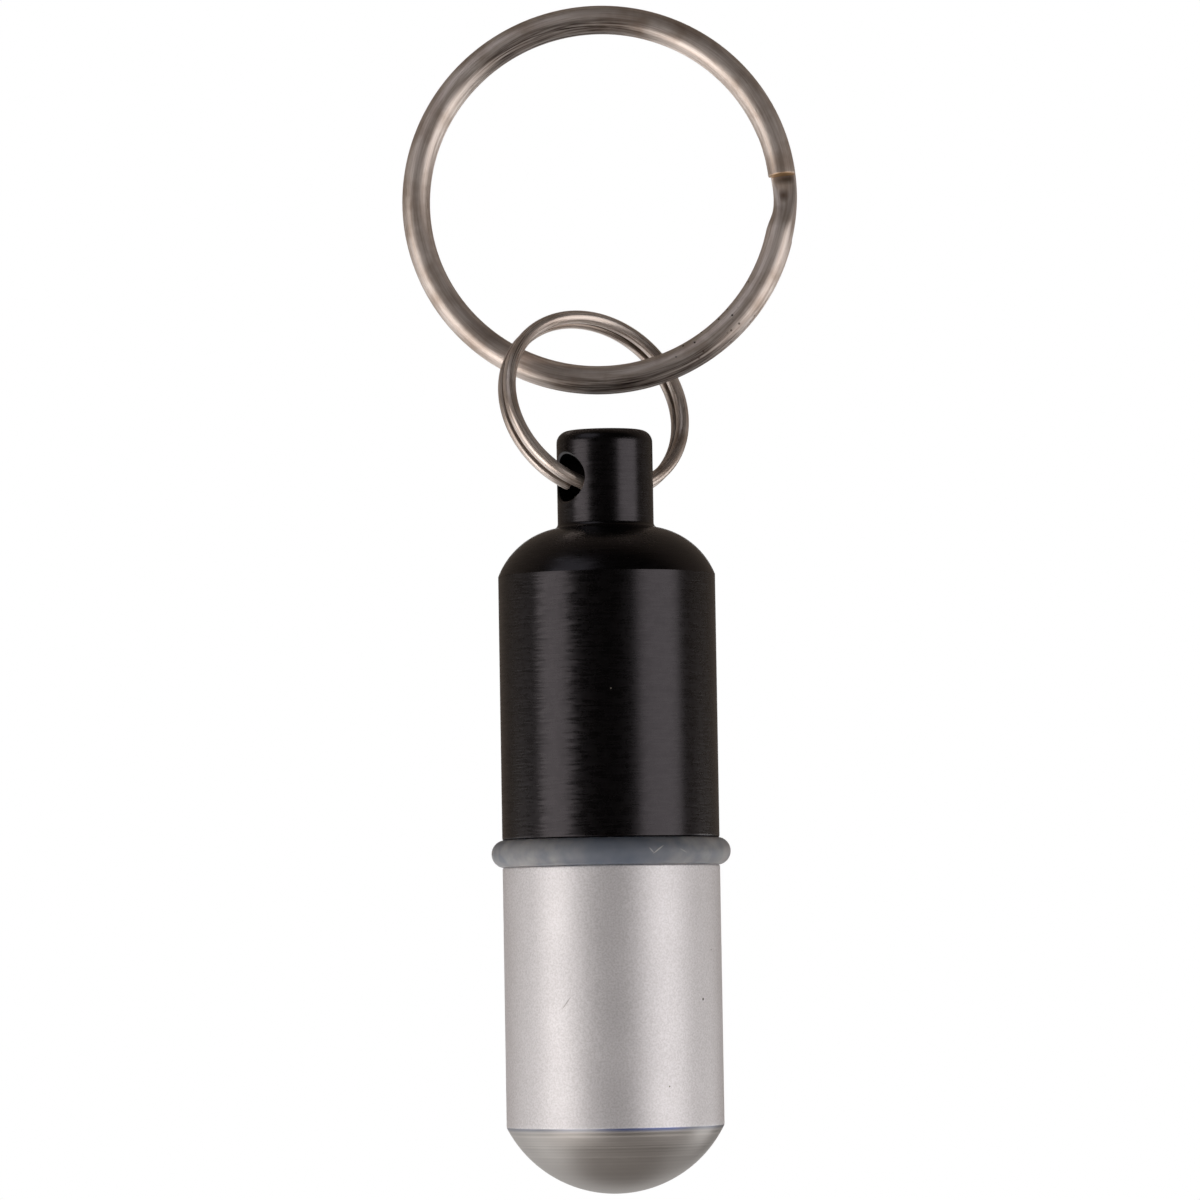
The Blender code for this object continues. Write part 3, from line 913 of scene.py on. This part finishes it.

# Nickel-plated spring steel, drawn through a die and tumbled: a warm grey metal, satin with fine
# streaks along the wire, drawn wide enough to show. The large ring has painted shade, a dark brown
# sheet on the wire's downward side, a brown bare cut with painted shade beside it, and small pits
# where keys have knocked it.
streak_length = 2.5 * mm
streak_width = 0.09 * mm
streak_depth = 0.006 * mm
tarnish_size = 2 * mm
pit_spacing = 0.55 * mm
pit_radius = 0.1 * mm
underside_shade_turn = math.radians(14)
knocked_angle = math.radians(-50)


def nickel_plating(name, dullness, relief):
    """A material, tree and shader for streaked plated wire, with its places, streaks and colour."""
    material, tree, shader = new_material(name)
    here = add_node(tree, "TexCoord").outputs["Object"]
    wire = add_node(
        tree, "Attribute", attribute_type="GEOMETRY", attribute_name="straight_wire"
    ).outputs["Vector"]
    drawn = add_node(
        tree,
        "Mapping",
        {"Vector": wire, "Scale": (1 / streak_length, 1 / streak_width, 1 / streak_width)},
    )
    streaks = add_node(
        tree, "TexNoise", {"Vector": drawn.outputs[0], "Scale": 1.0, "Detail": 2.0}
    ).outputs["Fac"]
    tarnish = add_node(
        tree, "TexNoise", {"Vector": here, "Scale": 1 / tarnish_size, "Detail": 4.0}
    ).outputs["Fac"]
    colour = tint(tree, linear("#CBBCB2"), linear("#ECE2DB"), streaks, 0.3, 0.7)
    colour = tint(tree, colour, linear("#98806C"), tarnish, 0.44, 0.7, most=0.6)
    roughness = add_node(
        tree,
        "MapRange",
        {
            "Value": streaks,
            "From Min": 0.3,
            "From Max": 0.7,
            "To Min": dullness,
            "To Max": dullness + 0.1,
        },
    )
    bump = add_node(
        tree, "Bump", {"Strength": relief, "Distance": streak_depth, "Height": streaks}
    )
    set_inputs(
        shader,
        {
            "Metallic": 0.64,
            "Roughness": roughness.outputs["Result"],
            "Normal": bump.outputs[0],
        },
    )
    return material, tree, shader, here, wire, streaks, colour


nickel_steel, tree, shader, here, wire, streaks, steel_colour = nickel_plating(
    "nickel_plated_steel", dullness=0.34, relief=0.3
)

# Painted shade: a dark brown sheet on the side of the wire that faces down, at the top and the
# bottom of the ring, where the wire would mirror the dark cap and the dark below.
wire_parts = add_node(tree, "SeparateXYZ", {"Vector": wire})
up_the_ring = add_node(
    tree,
    "Math",
    {0: wire_parts.outputs["X"], 1: 1 / large_middle, 2: -underside_shade_turn},
    operation="MULTIPLY_ADD",
).outputs[0]
up_the_ring = add_node(tree, "Math", {0: up_the_ring}, operation="SINE").outputs[0]
downward = add_node(
    tree, "Math", {0: up_the_ring, 1: wire_parts.outputs["Y"]}, operation="MULTIPLY"
).outputs[0]
underside = add_node(
    tree,
    "MapRange",
    {"Value": downward, "From Min": 0.04 * mm, "From Max": -0.3 * mm},
).outputs["Result"]
high_or_low = add_node(tree, "Math", {0: up_the_ring}, operation="ABSOLUTE").outputs[0]
high_or_low = add_node(
    tree, "MapRange", {"Value": high_or_low, "From Min": 0.74, "From Max": 0.96}
).outputs["Result"]
thinned = add_node(
    tree,
    "MapRange",
    {"Value": streaks, "From Min": 0.3, "From Max": 0.6, "To Min": 1, "To Max": 0.6},
).outputs["Result"]
underside_painted_shade = add_node(
    tree, "Math", {0: underside, 1: high_or_low}, operation="MULTIPLY"
).outputs[0]
underside_painted_shade = add_node(tree, "Math", {0: underside_painted_shade, 1: thinned}, operation="MULTIPLY").outputs[0]
# The painted shade goes on over the steel colour as a near-black brown.
steel_colour = tint(tree, steel_colour, linear("#261B15"), underside_painted_shade, 0, 1)

# Marks at the wire's end, each by its place along and across the wire, half sizes, strength and
# colour: painted shade on the cut itself and on the back coil beside it, and a darker brown streak
# that runs up to that.
cut = large_middle * large_crossing[1]
back_cut = cut + large_middle * math.tau
brassy = mark(tree, wire, place=(cut, 0, 0), size=(0.4 * mm, 2 * mm, 2 * mm))
steel_colour = tint(tree, steel_colour, linear("#B08E66"), brassy, 0.1, 0.4)
for place, size, strength, brown in (
    ((cut, 0.15 * mm, 0), (0.24 * mm, 0.75 * mm, 2 * mm), 0.95, "#33231A"),
    ((back_cut, 0.1 * mm, 0), (0.45 * mm, 0.65 * mm, 2 * mm), 0.8, "#3A2A1F"),
    ((back_cut - 1.1 * mm, -0.05 * mm, 0), (0.6 * mm, 0.24 * mm, 2 * mm), 0.8, "#5E4430"),
):
    # The first two marks are painted shade in the gap at the wire's end; the third is a darker
    # streak.
    end_shade_and_streak = mark(tree, wire, place, size)
    steel_colour = tint(tree, steel_colour, linear(brown), end_shade_and_streak, 0.05, 0.75, strength)

knocked_way = Vector((math.cos(knocked_angle), 0, math.sin(knocked_angle)))
knocked = knocked_way * (large_radius - large_width) + large_centre
worn = mark(tree, here, place=knocked, size=(5 * mm,) * 3)
worn = add_node(tree, "MapRange", {"Value": worn, "From Max": 0.3}).outputs["Result"]
pits = specks(tree, here, pit_spacing, pit_radius)
pits = add_node(tree, "Math", {0: pits, 1: worn}, operation="MULTIPLY").outputs[0]
steel_colour = tint(tree, steel_colour, linear("#4B3F38"), pits, 0, 1)
set_inputs(shader, {"Base Color": steel_colour})
large_ring.data.materials.clear()
large_ring.data.materials.append(nickel_steel)
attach(large_ring, "large_ring")
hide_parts("large_split_ring")

# Small split ring: the same in finer wire, threaded through the neck's cross hole and round the
# large ring. Its front coil ends in the hole.
small_low, small_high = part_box("small_split_ring")
small_radius = 6.62 * mm
small_width = 0.84 * mm
small_middle = small_radius - small_width / 2
small_crossing = (math.radians(246), math.radians(266))
small_ring = split_ring(
    "small_ring_wire",
    outer=small_radius,
    width=small_width,
    thickness=0.8 * mm,
    crossing=small_crossing,
    crossing_width=0.78 * mm,
    flat=(2.4, 0.42),
    steps=144,
)
hang_ring(
    small_ring,
    centre=(small_low + small_high) / 2,
    lean=math.radians(-21.4),
    turn=math.radians(27.6),
)

# The same plating, brighter on the finer wire, with brown grime and painted shade in the groove
# between the coils: on the back of the front coil, up to the crossing, and on the front of the back
# coil after it.
bright_nickel, tree, shader, _, wire, _, steel_colour = nickel_plating(
    "bright_nickel_plated_steel", dullness=0.24, relief=0.06
)
wire_parts = add_node(tree, "SeparateXYZ", {"Vector": wire})
groove_side = add_node(
    tree,
    "MapRange",
    {
        "Value": wire_parts.outputs["X"],
        "From Min": small_middle * (small_crossing[0] + math.tau),
        "From Max": small_middle * (small_crossing[1] + math.tau),
        "To Min": -1,
    },
).outputs["Result"]
groove_grime_and_shade = add_node(
    tree, "Math", {0: wire_parts.outputs["Z"], 1: groove_side}, operation="MULTIPLY"
).outputs[0]
# Brown grime and painted shade in the groove, where the coils hide each other from the light.
steel_colour = tint(
    tree, steel_colour, linear("#58432F"), groove_grime_and_shade, low=0.1 * mm, high=0.32 * mm, most=0.7
)
set_inputs(shader, {"Base Color": steel_colour})
small_ring.data.materials.clear()
small_ring.data.materials.append(bright_nickel)
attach(small_ring, "small_ring")
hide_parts("small_split_ring")

# Studio: pale floor, a white card behind the object, two tall soft boxes with small fills round
# them and a dim warm room. The room and the floor look pale to the camera alone.
floor_z = -1.2
floor_size = 12
bpy.ops.object.select_all(action="DESELECT")
bpy.ops.mesh.primitive_plane_add(size=floor_size, location=(0, 0, floor_z))
floor = bpy.context.object
floor.name = "floor"
floor_paint, tree, shader = new_material("pale_floor_paint")
set_inputs(
    shader,
    {
        "Base Color": linear("#D8D5D2"),
        "Roughness": 0.7,
        "Emission Color": linear("#DEDEDE"),
        "Emission Strength": add_node(tree, "LightPath").outputs["Is Camera Ray"],
    },
)
floor.data.materials.append(floor_paint)

# Camera: a long lens, a little below the object's middle and looking up it, slightly rolled.
photo_size = 1200
focal_pixels = 6722
camera_distance = 433.7 * mm
camera_tilt = math.radians(3.1)
camera_roll = math.radians(-0.945)
camera_target = Vector((axis_x - 0.449 * mm, axis_y, body_low.z + 38.19 * mm))
camera_forward = Vector((0, math.cos(camera_tilt), math.sin(camera_tilt)))
bpy.ops.object.camera_add(location=camera_target - camera_forward * camera_distance)
camera = bpy.context.object
camera.rotation_mode = "ZXY"
camera.rotation_euler = (math.pi / 2 + camera_tilt, 0, camera_roll)
camera.data.lens = camera.data.sensor_width * focal_pixels / photo_size
camera.data.clip_start = 0.01
bpy.context.scene.camera = camera

# The card is white to the camera and in what the metal mirrors.
card_distance = 1.05
card_size = 0.2
card_place = camera.location + camera_forward * card_distance
bpy.ops.mesh.primitive_plane_add(
    size=card_size, location=card_place, rotation=(math.pi / 2 + camera_tilt, 0, 0)
)
card = bpy.context.object
card.name = "backdrop_card"
card_paper, tree, shader = new_material("white_backdrop_card")
rays = add_node(tree, "LightPath")
seen = add_node(
    tree,
    "Math",
    {0: rays.outputs["Is Camera Ray"], 1: rays.outputs["Is Glossy Ray"]},
    operation="MAXIMUM",
)
seen = add_node(
    tree,
    "Math",
    {0: seen.outputs[0], 1: rays.outputs["Is Transmission Ray"]},
    operation="MAXIMUM",
)
set_inputs(
    shader,
    {
        "Base Color": linear("#000000"),
        "Specular IOR Level": 0,
        "Emission Color": linear("#FFFFFF"),
        "Emission Strength": seen.outputs[0],
    },
)
card.data.materials.append(card_paper)

# Lamps, each by its name, azimuth and elevation in degrees, width and height in metres, watts and
# colour. Azimuth 0 is beside the camera, and left is minus. All face the middle of the object.
lamp_distance = 0.9
lamp_aim = Vector((axis_x, axis_y, -0.04))
for name, azimuth, elevation, width, height, watts, colour in (
    ("left_soft_box", -60, -19, 0.65, 1.15, 4.3, "#FFFAF6"),
    ("right_soft_box", 56.5, -15, 0.84, 1.05, 4.5, "#FFFBF9"),
    ("left_side_fill", -105, -18, 0.5, 0.5, 0.8, "#FFFFFF"),
    ("right_side_fill", 118, -20, 0.5, 0.5, 1.2, "#FFFFFF"),
    ("left_low_fill", -112, -50, 0.5, 0.4, 0.45, "#FFFFFF"),
    ("front_low_fill", -36, -38, 0.5, 0.4, 1.1, "#FFFBF9"),
    ("right_low_fill", 130, -45, 0.5, 0.4, 0.18, "#FFFFFF"),
    ("high_fill", -48, 45, 0.6, 0.5, 0.5, "#F4F6FF"),
    ("rear_fill", -160, -30, 1.4, 0.7, 1.7, "#FFFFFF"),
):
    a, e = math.radians(azimuth), math.radians(elevation)
    way = Vector((math.sin(a) * math.cos(e), -math.cos(a) * math.cos(e), math.sin(e)))
    bpy.ops.object.light_add(
        type="AREA",
        location=lamp_aim + way * lamp_distance,
        rotation=way.to_track_quat("Z", "Y").to_euler(),
    )
    lamp = bpy.context.object
    lamp.name = name
    lamp.data.shape = "RECTANGLE"
    lamp.data.size = width
    lamp.data.size_y = height
    lamp.data.energy = watts
    lamp.data.color = linear(colour)[:3]
    lamp.visible_camera = False

# The room is warm, nearly dark on the camera's side and paler behind the object.
room = bpy.data.worlds.new("studio_room")
room.use_nodes = True
bpy.context.scene.world = room
tree = room.node_tree
direction = add_node(tree, "TexCoord").outputs["Generated"]
behind = add_node(
    tree,
    "MapRange",
    {
        "Value": add_node(tree, "SeparateXYZ", {"Vector": direction}).outputs["Y"],
        "From Min": -0.35,
        "From Max": 0.35,
        "To Min": 0.012,
        "To Max": 0.16,
    },
    interpolation_type="SMOOTHSTEP",
).outputs["Result"]
seen = add_node(tree, "LightPath").outputs["Is Camera Ray"]
room_strength = add_node(tree, "Mix", {"Factor": seen, "A": behind, "B": 1.0})
set_inputs(
    tree.nodes["Background"],
    {
        "Color": tint(tree, linear("#FFE8D4"), linear("#FFFFFF"), seen, 0, 1),
        "Strength": room_strength.outputs["Result"],
    },
)

bpy.context.scene.view_settings.view_transform = "Standard"
